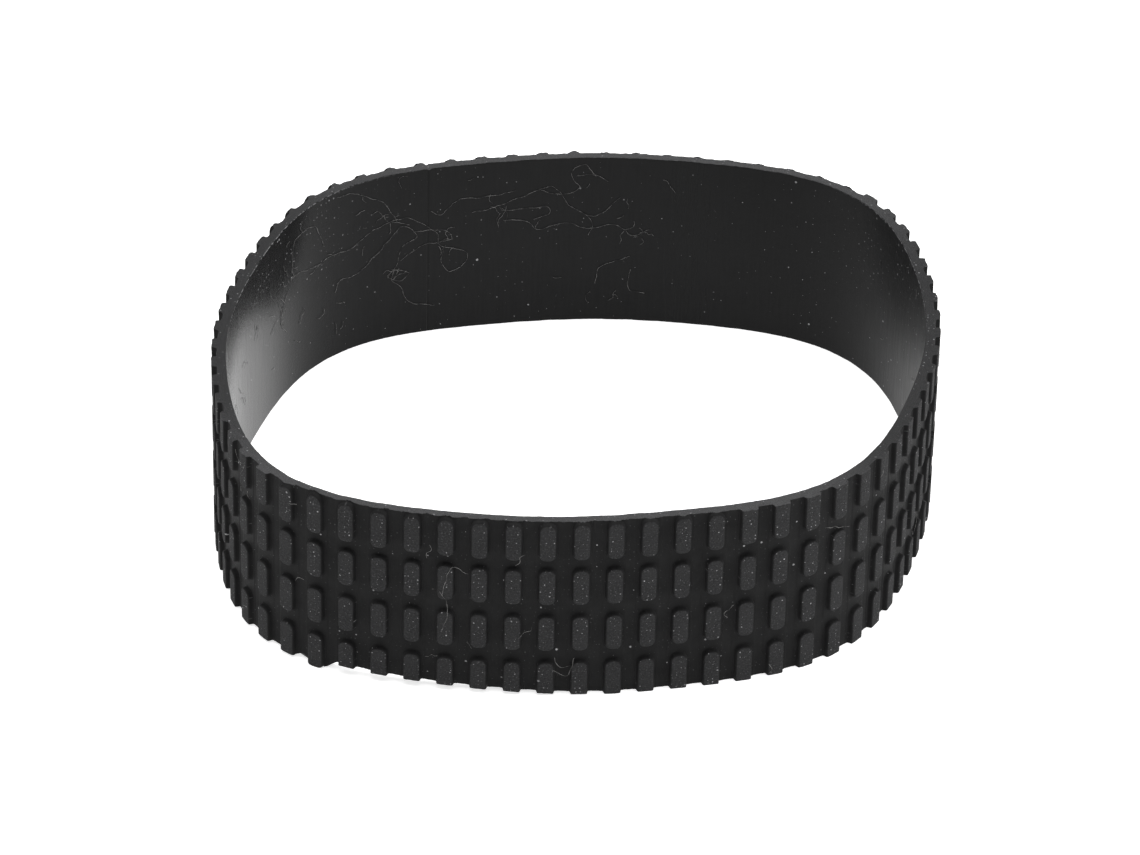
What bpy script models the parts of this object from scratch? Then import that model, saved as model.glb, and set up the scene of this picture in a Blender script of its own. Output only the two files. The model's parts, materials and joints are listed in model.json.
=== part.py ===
"""Rubber grip ring for a camera lens barrel, standing on its lower edge.

The ring is one moulded band: a smooth web with four rows of raised pads outside. Here it is
modelled as short lengths of that band, one object each, that turn on upright lines through the
middle of the web, so the soft band can be opened out to a circle or pinched in. The loop of
hinges is left open at the moulded joint line. Metres, +Z up, +X along the longer side of the loop.
"""

import math

import bmesh
import bpy
from mathutils import Vector

# Driving dimensions, in metres
COLUMNS = 70  # pad columns round the whole band
ROWS = 4
COLUMN_PITCH = 0.00329  # along the middle of the web
ROW_PITCH = 0.00555
BAND_HEIGHT = 0.0206
WEB = 0.00095  # thickness between the pads
PAD_HEIGHT = 0.00055  # above the web
PAD_WIDTH = 0.00170
PAD_LENGTH = 0.0042
PAD_CORNER = 0.00045  # cut off each corner of a pad
PAD_SIDES = (-1, 1)  # the two halves of a pad, before and after its middle
SEGMENT_COLUMNS = 2  # pad columns on one length of band
SEGMENT_GAP = 0.0003
WELD = 0.000001  # points closer than this are one corner

# Plan shape of the band at rest: how its curvature varies round the loop, as a share of a circle's
CORNER_COLUMN = 8.1  # the middle of the first of the four soft corners
OVAL_SHARE = 0.149
OVAL_TURN = math.radians(72)  # from the first corner to where the oval bends most
CORNER_SHARE = 0.667
CORNER_SHARPNESS = 0.455
FRONT_TURN = math.radians(0.6)  # heading of the band at column 0

SEAM_COLUMN = 39.5  # where the loop of hinges is open

RUBBER_COLOR = (0.022, 0.022, 0.023, 1.0)
RUBBER_ROUGHNESS = 0.72

LENGTH = COLUMNS * COLUMN_PITCH
SEGMENTS = COLUMNS // SEGMENT_COLUMNS
STEPS_PER_COLUMN = 40  # fine steps when the curve is walked
UP = Vector((0.0, 0.0, 1.0))


def clear_objects():
    """Empty the scene, so that the script can be run again."""
    for old in list(bpy.data.objects):
        bpy.data.objects.remove(old, do_unlink=True)


def curvature(column):
    """Turning per metre of the web's middle line at a place given in columns from column 0."""
    turn = math.tau * (column - CORNER_COLUMN) / COLUMNS
    share = 1.0 + OVAL_SHARE * math.cos(2 * (turn - OVAL_TURN))
    share += CORNER_SHARE * math.cos(4 * turn) + CORNER_SHARPNESS * math.cos(8 * turn)
    return share * math.tau / LENGTH


def walk_middle_line():
    """Points and headings of the web's middle line, from column 0 once round, centred on 0, 0."""
    steps = COLUMNS * STEPS_PER_COLUMN
    step = LENGTH / steps
    points = [Vector((0.0, 0.0, 0.0))]
    headings = [FRONT_TURN]
    for i in range(steps):
        middle = headings[-1] + 0.5 * step * curvature((i + 0.5) / STEPS_PER_COLUMN)
        points.append(points[-1] + step * Vector((math.cos(middle), math.sin(middle), 0.0)))
        headings.append(headings[-1] + step * curvature((i + 0.5) / STEPS_PER_COLUMN))
    xs = [p.x for p in points]
    ys = [p.y for p in points]
    centre = Vector((0.5 * (min(xs) + max(xs)), 0.5 * (min(ys) + max(ys)), 0.0))
    return [p - centre for p in points], headings


POINTS, HEADINGS = walk_middle_line()


def station(column):
    """Point on the web's middle line, direction along the band and outward normal at a column."""
    i = round((column % COLUMNS) * STEPS_PER_COLUMN)
    along = Vector((math.cos(HEADINGS[i]), math.sin(HEADINGS[i]), 0.0))
    return POINTS[i], along, along.cross(UP)


def pad_half(row, side):
    """Half of a pad's outline, (across, up) points from its foot to its head, cut at the edges."""
    middle = 0.5 * BAND_HEIGHT + (row - 0.5 * (ROWS - 1)) * ROW_PITCH
    foot = middle - 0.5 * PAD_LENGTH
    head = middle + 0.5 * PAD_LENGTH
    shoulder = head - PAD_CORNER
    half = 0.5 * PAD_WIDTH
    inner = half - PAD_CORNER
    if foot < 0.0:
        lower = [(0.0, 0.0), (inner - foot, 0.0), (half, foot + PAD_CORNER)]
    else:
        lower = [(0.0, foot), (inner, foot), (half, foot + PAD_CORNER)]
    if head > BAND_HEIGHT:
        upper = [(half, shoulder), (inner + head - BAND_HEIGHT, BAND_HEIGHT), (0.0, BAND_HEIGHT)]
    else:
        upper = [(half, shoulder), (inner, head), (0.0, head)]
    return [(side * across, up) for across, up in lower + upper]


def closed_mesh(polygons):
    """One closed mesh from loops of points that share their corners."""
    mesh = bmesh.new()
    for points in polygons:
        mesh.faces.new([mesh.verts.new(p) for p in points])
    bmesh.ops.remove_doubles(mesh, verts=mesh.verts, dist=WELD)
    bmesh.ops.recalc_face_normals(mesh, faces=mesh.faces)
    return mesh


def facet_plan(first, last):
    """Plan corners of one flat facet: inner and outer ends, the middle, and its directions."""
    direction = (last["inner"] - first["inner"]).normalized()
    normal = direction.cross(UP)
    ends = []
    for end in (first, last):
        slant = WEB / end["normal"].dot(normal)
        ends.append(end["inner"] + slant * end["normal"])
    middle = 0.5 * (ends[0] + ends[1])
    return {"direction": direction, "normal": normal, "outer": ends, "middle": middle}


def segment_ends(first_column):
    """Inner corners and mitre normals at the two cut ends and at the fold between two columns."""
    ends = []
    for i in range(SEGMENT_COLUMNS + 1):
        point, along, outward = station(first_column + i)
        shift = 0.0
        if i == 0:
            shift = 0.5 * SEGMENT_GAP
        if i == SEGMENT_COLUMNS:
            shift = -0.5 * SEGMENT_GAP
        ends.append({"inner": point + shift * along - 0.5 * WEB * outward, "normal": outward})
    for before, fold, after in zip(ends[:-2], ends[1:-1], ends[2:]):
        arriving = (fold["inner"] - before["inner"]).normalized()
        leaving = (after["inner"] - fold["inner"]).normalized()
        fold["normal"] = (arriving + leaving).normalized().cross(UP)
    return ends


def lift(point, height):
    """The plan point raised to a height."""
    return Vector((point.x, point.y, height))


def outer_faces(plan):
    """Outer faces of one column: the web each side of the pads, and the pads."""
    faces = []
    start, finish = plan["outer"]
    halves = {side: [pad_half(row, side) for row in range(ROWS)] for side in PAD_SIDES}
    on_edges = ((0.0, 0.0), (0.0, BAND_HEIGHT))  # a pad's own middle, where it is cut

    def on_web(across, up):
        return lift(plan["middle"] + across * plan["direction"], up)

    def on_pad(across, up):
        return on_web(across, up) + PAD_HEIGHT * plan["normal"]

    for side, end in zip(PAD_SIDES, (start, finish)):
        inward = [p for half in halves[side] for p in half if p not in on_edges]
        faces.append([on_web(*p) for p in inward] + [lift(end, BAND_HEIGHT), lift(end, 0.0)])
        for half in halves[side]:
            for a, b in zip(half[:-1], half[1:]):
                if a[1] == b[1] and a[1] in (0.0, BAND_HEIGHT):
                    continue  # the wall is cut away at the edge of the band
                faces.append([on_web(*a), on_pad(*a), on_pad(*b), on_web(*b)])
    for left, right in zip(halves[-1], halves[1]):
        foot = [right[0]] if right[0][1] > 0.0 else []
        head = [right[-1]] if right[-1][1] < BAND_HEIGHT else []
        outline = foot + right[1:-1] + head + left[-2:0:-1]
        faces.append([on_pad(*p) for p in outline])
    return faces


def edge_outline(ends, plans, height):
    """Inner and outer outline of a segment's upper or lower edge, with the cut pads standing out."""
    inner = [lift(end["inner"], height) for end in ends]
    row = 0 if height == 0.0 else ROWS - 1
    half = pad_half(row, 1)
    reach = half[1][0] if height == 0.0 else half[-2][0]
    outer = [lift(plans[0]["outer"][0], height)]
    for plan in plans:
        for across, out in ((-reach, 0.0), (-reach, PAD_HEIGHT), (reach, PAD_HEIGHT), (reach, 0.0)):
            offset = across * plan["direction"] + out * plan["normal"]
            outer.append(lift(plan["middle"] + offset, height))
        outer.append(lift(plan["outer"][1], height))
    return inner, outer


def build_segment(first_column):
    """One closed length of the band that starts at the given place."""
    ends = segment_ends(first_column)
    plans = [facet_plan(a, b) for a, b in zip(ends[:-1], ends[1:])]
    faces = []
    for plan in plans:
        faces += outer_faces(plan)
    for a, b in zip(ends[:-1], ends[1:]):
        low_a, low_b = lift(a["inner"], 0.0), lift(b["inner"], 0.0)
        faces.append([low_b, low_a, lift(low_a, BAND_HEIGHT), lift(low_b, BAND_HEIGHT)])
    for height in (0.0, BAND_HEIGHT):
        inner, outer = edge_outline(ends, plans, height)
        faces.append(outer + inner[::-1])
    cut_ends = ((ends[0]["inner"], plans[0]["outer"][0]), (ends[-1]["inner"], plans[-1]["outer"][1]))
    for inner, outer in cut_ends:
        lower, upper = [[lift(p, height) for p in (outer, inner)] for height in (0.0, BAND_HEIGHT)]
        faces.append(lower + upper[::-1])
    return closed_mesh(faces)


def rubber_material():
    """Matte black moulded rubber."""
    material = bpy.data.materials.new("black_rubber")
    material.use_nodes = True
    shader = material.node_tree.nodes["Principled BSDF"]
    shader.inputs["Base Color"].default_value = RUBBER_COLOR
    shader.inputs["Roughness"].default_value = RUBBER_ROUGHNESS
    shader.inputs["Metallic"].default_value = 0.0
    return material


def hinge_column(number):
    """Place of the hinge that a segment turns on: the end nearer the root segment."""
    root = (SEGMENTS + 1) // 2
    first = SEAM_COLUMN + SEGMENT_COLUMNS * (number - 1)
    return first + SEGMENT_COLUMNS if number < root else first


def main():
    clear_objects()
    rubber = rubber_material()
    for number in range(1, SEGMENTS + 1):
        hinge = station(hinge_column(number))[0]
        solid = build_segment(SEAM_COLUMN + SEGMENT_COLUMNS * (number - 1))
        bmesh.ops.translate(solid, verts=solid.verts, vec=-hinge)
        name = f"band_segment_{number:02d}"
        mesh = bpy.data.meshes.new(name)
        solid.to_mesh(mesh)
        solid.free()
        mesh.materials.append(rubber)
        piece = bpy.data.objects.new(name, mesh)
        piece.location = hinge
        bpy.context.collection.objects.link(piece)


main()
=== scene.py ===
# %% [markdown]
# # A rubber grip ring for a lens barrel
# The ring is one moulded band of soft black rubber. It is smooth inside, carries four rows of small raised
# pads outside, and has lost its round shape because nothing is inside it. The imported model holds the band
# as short stiff lengths on upright hinges. This script keeps those hinges and gives the band its unbroken
# skin, its rounded pads, its trimmed edges, its finishes, and the dust and lint that black rubber picks up.

# %% Load the frame
import json
import math

import bmesh
import bpy
import numpy as np
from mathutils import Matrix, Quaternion, Vector


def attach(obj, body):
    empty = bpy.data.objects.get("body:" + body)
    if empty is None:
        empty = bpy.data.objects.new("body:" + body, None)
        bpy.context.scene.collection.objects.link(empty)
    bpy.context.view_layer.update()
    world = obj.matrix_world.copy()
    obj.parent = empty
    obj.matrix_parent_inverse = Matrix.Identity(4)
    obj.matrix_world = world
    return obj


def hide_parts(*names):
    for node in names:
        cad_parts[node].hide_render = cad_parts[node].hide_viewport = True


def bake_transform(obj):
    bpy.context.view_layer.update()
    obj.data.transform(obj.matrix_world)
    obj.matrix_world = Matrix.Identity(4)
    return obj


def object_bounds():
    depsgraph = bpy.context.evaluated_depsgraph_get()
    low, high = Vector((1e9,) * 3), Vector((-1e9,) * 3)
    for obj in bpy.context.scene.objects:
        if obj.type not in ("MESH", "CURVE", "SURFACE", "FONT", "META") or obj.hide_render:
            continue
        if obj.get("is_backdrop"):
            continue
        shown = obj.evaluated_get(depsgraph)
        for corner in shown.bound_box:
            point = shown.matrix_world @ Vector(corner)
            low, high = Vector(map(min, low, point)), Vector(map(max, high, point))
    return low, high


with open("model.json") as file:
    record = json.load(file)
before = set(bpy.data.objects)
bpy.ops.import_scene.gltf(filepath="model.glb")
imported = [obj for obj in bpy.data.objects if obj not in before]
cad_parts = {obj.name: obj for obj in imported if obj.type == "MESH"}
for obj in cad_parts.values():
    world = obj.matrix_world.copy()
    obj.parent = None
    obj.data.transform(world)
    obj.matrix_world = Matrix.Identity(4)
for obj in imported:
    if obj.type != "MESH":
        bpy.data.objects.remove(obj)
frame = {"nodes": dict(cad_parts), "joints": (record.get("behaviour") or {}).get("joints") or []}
CAD_LOW, CAD_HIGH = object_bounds()
SEGMENTS = len(frame["nodes"])
JOINTS = {joint["name"]: joint for joint in frame["joints"]}
print("lengths of band", SEGMENTS, "hinges", len(JOINTS))

# %% [markdown]
# ## The numbers that drive the shape
# A pattern like this is drawn flat and wrapped round the barrel, so places are counted in pad columns along
# the band, and sizes are in millimetres until the last step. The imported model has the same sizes.

# %% Driving dimensions
COLUMNS, ROWS = 70, 4
COLUMN_PITCH = 3.29
ROW_PITCH = 5.55
MM = 0.001
HEIGHT = (CAD_HIGH[2] - CAD_LOW[2]) / MM
WEB = 0.95
PAD_HEIGHT = 0.55
PAD_HALF_WIDTH = 0.85
PAD_HALF_LENGTH = 2.1
PAD_CORNER = 0.68
SEAM_COLUMN = 39.5
LENGTH = COLUMNS * COLUMN_PITCH
print("band", round(LENGTH, 1), "mm round,", round(HEIGHT, 2), "mm high")

# %% [markdown]
# ## The curve that the band stands in
# The planform could be traced with a Bezier curve, but a rubber band bends by a smooth law, so its curvature
# is easier to state than its outline: a circle's, plus an oval's, plus four soft corners. Walking along the
# band and turning by the curvature at each step gives the middle line of the web.

# %% Middle line
CORNER_COLUMN = 8.1
OVAL_SHARE, OVAL_TURN = 0.149, math.radians(72)
CORNER_SHARE, CORNER_SHARPNESS = 0.667, 0.455
FRONT_TURN = math.radians(0.6)
STEPS_PER_COLUMN = 40


def walk_middle_line():
    """Points and headings of the middle line at fine even steps, from column 0 once round."""
    count = COLUMNS * STEPS_PER_COLUMN
    column = (np.arange(count) + 0.5) / STEPS_PER_COLUMN
    turn = math.tau * (column - CORNER_COLUMN) / COLUMNS
    share = 1 + OVAL_SHARE * np.cos(2 * (turn - OVAL_TURN))
    share += CORNER_SHARE * np.cos(4 * turn) + CORNER_SHARPNESS * np.cos(8 * turn)
    bends = share * math.tau / count
    headings = FRONT_TURN + np.concatenate([[0], np.cumsum(bends)])
    middle = headings[:-1] + 0.5 * bends
    steps = np.stack([np.cos(middle), np.sin(middle)], 1) * LENGTH / count
    points = np.concatenate([np.zeros((1, 2)), np.cumsum(steps, 0)])
    return points - 0.5 * (points.min(0) + points.max(0)), headings


POINTS, HEADINGS = walk_middle_line()


def station(column):
    """Points of the middle line and outward normals there, for an array of columns."""
    place = np.mod(np.asarray(column, float), COLUMNS) * STEPS_PER_COLUMN
    grid = np.arange(len(POINTS))
    heading = np.interp(place, grid, HEADINGS)
    points = np.stack([np.interp(place, grid, POINTS[:, i]) for i in range(2)], 1)
    return points, np.stack([np.sin(heading), -np.cos(heading)], 1)


def hinge_column(number):
    """Column of the hinge between segment number and the next one."""
    return SEAM_COLUMN + 2 * number


ROOT = (SEGMENTS + 1) // 2
misses = []
for number in range(1, SEGMENTS):
    joint = JOINTS[f"bend_{number if number < ROOT else number + 1:02d}"]
    here = station([hinge_column(number)])[0][0]
    misses.append(math.dist(here * MM, joint["pos_m"][:2]))
print("curve is within", round(max(misses) * 1e6, 2), "micrometres of every hinge")

# %% [markdown]
# ## One raised pad
# A pad is a bar with rounded corners that stands on the web on drafted walls. It could be a bevelled block
# put on top of the web, but rubber has no line where the pad meets the band. Here each pad is a stack of
# loops, all with the same number of points: the first loop follows the edge of the pad's own patch of web,
# the next ones shrink to the pad's foot, climb its wall, round over its edge and cross its face.

# %% Loops of a pad
SIDE_STEPS, END_STEPS, CORNER_STEPS = 10, 4, 4
UP_STEPS = SIDE_STEPS + CORNER_STEPS
ACROSS_STEPS = END_STEPS + CORNER_STEPS
STRIP_HALF_WIDTH = 1.16
STRIP_HEIGHT = 0.03
PAD_PROFILE = (
    (0.16, 0.0), (0.10, 0.04), (0.06, 0.08), (0.02, 0.17), (-0.01, 0.32),
    (-0.04, 0.43), (-0.08, 0.50), (-0.15, 0.54), (-0.26, PAD_HEIGHT),
)
CORNER_SIGNS = ((1, -1), (1, 1), (-1, 1), (-1, -1))  # lower right, then anticlockwise


def rounded_loop(half_width, half_length, radius):
    """Loop of points round a rounded rectangle, from the middle of its lower right corner upwards."""
    centres = [Vector((across * (half_width - radius), up * (half_length - radius)))
               for across, up in CORNER_SIGNS]
    half = CORNER_STEPS // 2
    points = []
    for quarter in range(4):
        start = math.tau * (quarter / 4 - 1 / 8)
        centre, ahead = centres[quarter], centres[(quarter + 1) % 4]
        for i in range(half + 1):
            angle = start + math.tau / 8 * i / half
            points.append(centre + radius * Vector((math.cos(angle), math.sin(angle))))
        steps = SIDE_STEPS if quarter % 2 == 0 else END_STEPS
        arc_end = points[-1]
        finish = ahead + (arc_end - centre)
        points += [arc_end.lerp(finish, i / steps) for i in range(1, steps + 1)]
        for i in range(1, half):
            angle = start + math.tau / 8 + math.tau / 8 * i / half
            points.append(ahead + radius * Vector((math.cos(angle), math.sin(angle))))
    return points


def patch_loop(half_width, low, high):
    """Loop of as many points round the pad's patch of web, evenly spaced along each side."""
    corners = [Vector((across * half_width, low if up < 0 else high)) for across, up in CORNER_SIGNS]
    points = []
    for quarter in range(4):
        steps = UP_STEPS if quarter % 2 == 0 else ACROSS_STEPS
        a, b = corners[quarter], corners[(quarter + 1) % 4]
        points += [a.lerp(b, i / steps) for i in range(steps)]
    return points


print("points in a loop", len(rounded_loop(1, 2, 0.4)), len(patch_loop(1, 0, 4)))

# %% [markdown]
# ## A patch of skin round each pad
# The loops of one pad are joined by quads, and its face is closed with a small grid instead of a fan, so
# that it can bend smoothly with the band. Between two columns of pads the web is a plain strip. It is all
# drawn flat first: along the band, up the band, and out from the web. Wrapping it round comes last.

# %% Flat mesh of a patch
SNAP = 1e-5  # places closer than this are one point
PATCH_SHARES = (0.4, 0.75)  # of the way from a patch's edge to the pad's foot


class FlatMesh:
    """Points (along, up, out) in millimetres and faces. Each place in the flat drawing is used once."""

    def __init__(self):
        self.points = []
        self.faces = []
        self.found = {}

    def point(self, along, up, out):
        key = (round(along / SNAP), round(up / SNAP), round(out / SNAP))
        if key not in self.found:
            self.found[key] = len(self.points)
            self.points.append((along, up, out))
        return self.found[key]

    def face(self, corners):
        corners = [c for i, c in enumerate(corners) if c != corners[i - 1]]
        if len(corners) > 2:
            self.faces.append(corners)

    def bridge(self, outer, inner):
        for i in range(len(outer)):
            k = (i + 1) % len(outer)
            self.face([outer[i], outer[k], inner[k], inner[i]])

    def sheet(self, columns, rows, out):
        """Quads between lists of places along and up the band; out gives the height over the web."""
        grid = [[self.point(a, u, out(a)) for u in rows] for a in columns]
        for left, right in zip(grid[:-1], grid[1:]):
            for k in range(len(rows) - 1):
                self.face([left[k], right[k], right[k + 1], left[k + 1]])


def add_face_grid(flat, loop):
    """Close a pad's face: a grid between its left and right sides, blended from its four edges."""
    place = [Vector(flat.points[i]) for i in loop]
    right = loop[:UP_STEPS + 1]
    top = loop[UP_STEPS:UP_STEPS + ACROSS_STEPS + 1][::-1]
    left = loop[UP_STEPS + ACROSS_STEPS:2 * UP_STEPS + ACROSS_STEPS + 1][::-1]
    bottom = loop[2 * UP_STEPS + ACROSS_STEPS:] + loop[:1]
    at = dict(zip(loop, place))
    grid = [[None] * (UP_STEPS + 1) for _ in range(ACROSS_STEPS + 1)]
    for a in range(ACROSS_STEPS + 1):
        for u in range(UP_STEPS + 1):
            if a in (0, ACROSS_STEPS):
                grid[a][u] = (left if a == 0 else right)[u]
            elif u in (0, UP_STEPS):
                grid[a][u] = (bottom if u == 0 else top)[a]
            else:
                s, t = a / ACROSS_STEPS, u / UP_STEPS
                p = at[left[u]].lerp(at[right[u]], s) + at[bottom[a]].lerp(at[top[a]], t)
                low = at[left[0]].lerp(at[right[0]], s)
                high = at[left[-1]].lerp(at[right[-1]], s)
                grid[a][u] = flat.point(*(p - low.lerp(high, t)))
    for a in range(ACROSS_STEPS):
        for u in range(UP_STEPS):
            flat.face([grid[a][u], grid[a + 1][u], grid[a + 1][u + 1], grid[a][u + 1]])


def add_pad(flat, along, low, high, foot, head):
    """The patch of web from low to high with one pad on it, from foot to head."""
    middle, half_length = 0.5 * (foot + head), 0.5 * (head - foot)
    patch = patch_loop(STRIP_HALF_WIDTH, low, high)
    loops = [[flat.point(along + p.x, p.y, STRIP_HEIGHT) for p in patch]]
    edge = [flat.points[i] for i in loops[0]]
    for grow, out in PAD_PROFILE:
        outline = rounded_loop(PAD_HALF_WIDTH + grow, half_length + grow, PAD_CORNER + grow)
        if len(loops) == 1:
            for share in PATCH_SHARES:
                loops.append([flat.point(e[0] + (along + p.x - e[0]) * share,
                                         e[1] + (middle + p.y - e[1]) * share, STRIP_HEIGHT)
                              for e, p in zip(edge, outline)])
        height = max(out, STRIP_HEIGHT)
        loops.append([flat.point(along + p.x, middle + p.y, height) for p in outline])
    for outer, inner in zip(loops[:-1], loops[1:]):
        flat.bridge(outer, inner)
    add_face_grid(flat, loops[-1])


flat = FlatMesh()
add_pad(flat, 0.0, -0.5 * ROW_PITCH, 0.5 * ROW_PITCH, -PAD_HALF_LENGTH, PAD_HALF_LENGTH)
print("one pad and its patch:", len(flat.points), "points,", len(flat.faces), "faces")

# %% [markdown]
# ## A length of band, drawn flat
# The moulding comes out of its tool as a long sleeve and is trimmed to width, which cuts straight through
# the end rows of pads. The script does the same: it draws the outer skin too wide, cuts it at the two
# trimmed edges, rounds those edges a little, and closes the length with the rims, the inside and two ends.

# %% Places of the pads and of the trimmed edges
OVERHANG = 1.1  # of the outer skin, past each trimmed edge
EDGE_ROUND = 0.05
LIP = 0.14  # width of the strip of rim between the web's surface and the rim's plain inner part
INSIDE_STEPS = 10  # along one column
INSIDE_ROWS = 20
RIM_SUPPORT = 0.1  # height of the narrow row that keeps the inside's shading flat up to a rim
STRIP_STEP = 0.04  # slope between the raised strip beside a pad column and the web
TOUCHING = 1e-4
END_PAD_EXTRA = 0.6
# Columns where the cut at the top missed the pattern, and how far the top pads lie lower there
TOP_SHIFTS = ((range(61, 70), 0.3), (range(0, 5), 0.2), (range(26, 35), 0.3), (range(35, 47), 0.15))


def pad_ends(column, row):
    """Foot and head of a pad. The end rows run past the cut, except where the top was trimmed wide."""
    middle = 0.5 * HEIGHT + (row - 0.5 * (ROWS - 1)) * ROW_PITCH
    foot, head = middle - PAD_HALF_LENGTH, middle + PAD_HALF_LENGTH
    if row == 0:
        foot -= END_PAD_EXTRA
    if row == ROWS - 1:
        shift = sum(shift for columns, shift in TOP_SHIFTS if column % COLUMNS in columns)
        foot, head = foot - shift, head - shift + (0.0 if shift else END_PAD_EXTRA)
    return foot, head


def row_limits(row):
    """Lowest and highest place of a row's patches, with an overhang past the trimmed edges."""
    low = 0.5 * HEIGHT + (row - 0.5 * ROWS) * ROW_PITCH
    high = low + ROW_PITCH
    return (-OVERHANG if row == 0 else low), (HEIGHT + OVERHANG if row == ROWS - 1 else high)


UP_PLACES = sorted({round(low + (high - low) * i / UP_STEPS, 6)
                    for low, high in map(row_limits, range(ROWS)) for i in range(UP_STEPS + 1)})
print("rows of quads up the band", len(UP_PLACES) - 1)


# %% Outer skin, cut to width
def draw_outside(first, last):
    """Outer skin between two places halfway between pad columns, as a bmesh of (along, up, out)."""
    flat = FlatMesh()
    half_gap = 0.5 * COLUMN_PITCH
    for column in range(math.ceil(first), math.ceil(last)):
        along = (column - SEAM_COLUMN) * COLUMN_PITCH
        for row in range(ROWS):
            add_pad(flat, along, *row_limits(row), *pad_ends(column, row))
        for side in (-1, 1):
            middle = 0.5 * (STRIP_HALF_WIDTH + half_gap)
            steps = (STRIP_HALF_WIDTH, STRIP_HALF_WIDTH + STRIP_STEP, middle, half_gap)
            places = sorted(along + side * step for step in steps)
            foot = along + side * STRIP_HALF_WIDTH
            flat.sheet(places, UP_PLACES, lambda a: STRIP_HEIGHT if a == foot else 0.0)
    mesh = bmesh.new()
    points = [mesh.verts.new(p) for p in flat.points]
    for corners in flat.faces:
        mesh.faces.new([points[i] for i in corners])
    for place, direction in ((EDGE_ROUND, -1), (HEIGHT - EDGE_ROUND, 1)):
        whole = mesh.verts[:] + mesh.edges[:] + mesh.faces[:]
        bmesh.ops.bisect_plane(mesh, geom=whole, dist=SNAP, plane_co=(0, place, 0),
                               plane_no=(0, direction, 0), clear_outer=True)
    return mesh


def section(mesh, up):
    """Points of the skin on a trimmed edge, in order along the band."""
    here = [v for v in mesh.verts if abs(v.co.y - up) < TOUCHING]
    return sorted(here, key=lambda v: v.co.x)


def join_rows(mesh, rows):
    """Quads between rows of as many points each."""
    faces = []
    for low, high in zip(rows[:-1], rows[1:]):
        for i in range(len(low) - 1):
            faces.append(mesh.faces.new([low[i], low[i + 1], high[i + 1], high[i]]))
    return faces


def close_length(mesh, first, last):
    """Add rounded rims, the inside and the two ends. Returns the flat faces of the rims."""
    start = (first - SEAM_COLUMN) * COLUMN_PITCH
    finish = (last - SEAM_COLUMN) * COLUMN_PITCH
    count = round(INSIDE_STEPS * (last - first))
    places = [start + (finish - start) * i / count for i in range(count + 1)]
    lowest = EDGE_ROUND + RIM_SUPPORT
    rows = [lowest + (HEIGHT - 2 * lowest) * i / INSIDE_ROWS for i in range(INSIDE_ROWS + 1)]
    rows = [EDGE_ROUND] + rows + [HEIGHT - EDGE_ROUND]
    inside = [[mesh.verts.new((a, u, -WEB)) for a in places] for u in rows]
    join_rows(mesh, inside)
    rims = []
    for edge, inner in ((-1, inside[0]), (1, inside[-1])):
        up = 0.0 if edge < 0 else HEIGHT
        cut = section(mesh, EDGE_ROUND if edge < 0 else HEIGHT - EDGE_ROUND)
        cut = [v for v in cut if v.co.z > -0.5 * WEB]
        outer_rows, inner_rows = [cut], [inner]
        for angle in (math.radians(45), math.radians(90)):
            rise = EDGE_ROUND * (1 - math.sin(angle))
            fall = EDGE_ROUND * (1 - math.cos(angle))
            height = up - edge * rise
            outer_rows.append([mesh.verts.new((v.co.x, height, v.co.z - fall)) for v in cut])
            inner_rows.append([mesh.verts.new((v.co.x, height, v.co.z + fall)) for v in inner])
        join_rows(mesh, outer_rows)
        join_rows(mesh, inner_rows)
        lip = [mesh.verts.new((v.co.x, up, -LIP)) for v in cut]
        rims += join_rows(mesh, [outer_rows[-1], lip])
        rims.append(mesh.faces.new(lip + inner_rows[-1][::-1]))
    for place in (start, finish):
        ring = [e for e in mesh.edges
                if e.is_boundary and all(abs(v.co.x - place) < TOUCHING for v in e.verts)]
        bmesh.ops.contextual_create(mesh, geom=ring)
    bmesh.ops.recalc_face_normals(mesh, faces=mesh.faces)
    return rims


trial = draw_outside(SEAM_COLUMN - 1, SEAM_COLUMN + 1)
rims = close_length(trial, SEAM_COLUMN - 1, SEAM_COLUMN + 1)
open_edges = sum(1 for e in trial.edges if not e.is_manifold)
print("one length:", len(trial.verts), "points,", len(trial.faces), "faces,", open_edges, "open edges")
trial.free()

# %% [markdown]
# ## Trimming by hand
# The two edges are cut with a blade, and rubber gives way under it. So the rims wander a little, a lip of
# flash stands up where the cut missed the pattern, one pad at the lower edge was left whole, and there are
# small nicks. A noise texture could displace the rims, but it can't put a flaw in one chosen place. These
# are a few smooth functions of the place along the band instead. Their heights are in millimetres.

# %% Flaws of the trimmed edges
EDGE_REACH = 0.9  # how far from an edge its small waves are felt
LOW_REACH = 2.6  # how far from the lower edge its slow rise is felt
FLASH_FROM, FLASH_TO, FLASH_FADE = 60.6, 75.4, 3
RIM_LUMPS = ((61.9, 0.75, 0.20), (63.0, 0.5, 0.16))  # column, half width in columns, height
RIM_DIPS = ((60.9, 0.35, 0.22), (58.2, 0.10, 0.30), (39.83, 0.07, 0.28))
STUB_COLUMN = 62  # its lowest pad was left whole
STUB_ROUND, STUB_RISE = 0.42, 0.36
SCOOP_HEIGHT, SCOOP_COLUMNS = 1.05, 8.5  # where the blade ran high beside it


def smooth(x, low, high):
    """0 below low, 1 above high, and a smooth step between."""
    t = np.clip((x - low) / (high - low), 0, 1)
    return t * t * (3 - 2 * t)


def hump(x, middle, half_width):
    """A smooth hump of height 1."""
    return np.cos(np.clip((x - middle) / half_width, -1, 1) * math.pi / 2) ** 2


def ripple(columns, waves, seed):
    """Uneven waves from -1 to 1 that close after one turn of the band."""
    draw = np.random.RandomState(seed)
    total = np.zeros_like(columns)
    for _ in range(6):
        turns = round(waves * draw.uniform(0.5, 1.6))
        total += draw.uniform(0.4, 1) * np.sin(math.tau * (columns * turns / COLUMNS + draw.uniform()))
    return np.clip(total / 2.2, -1, 1)


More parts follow.
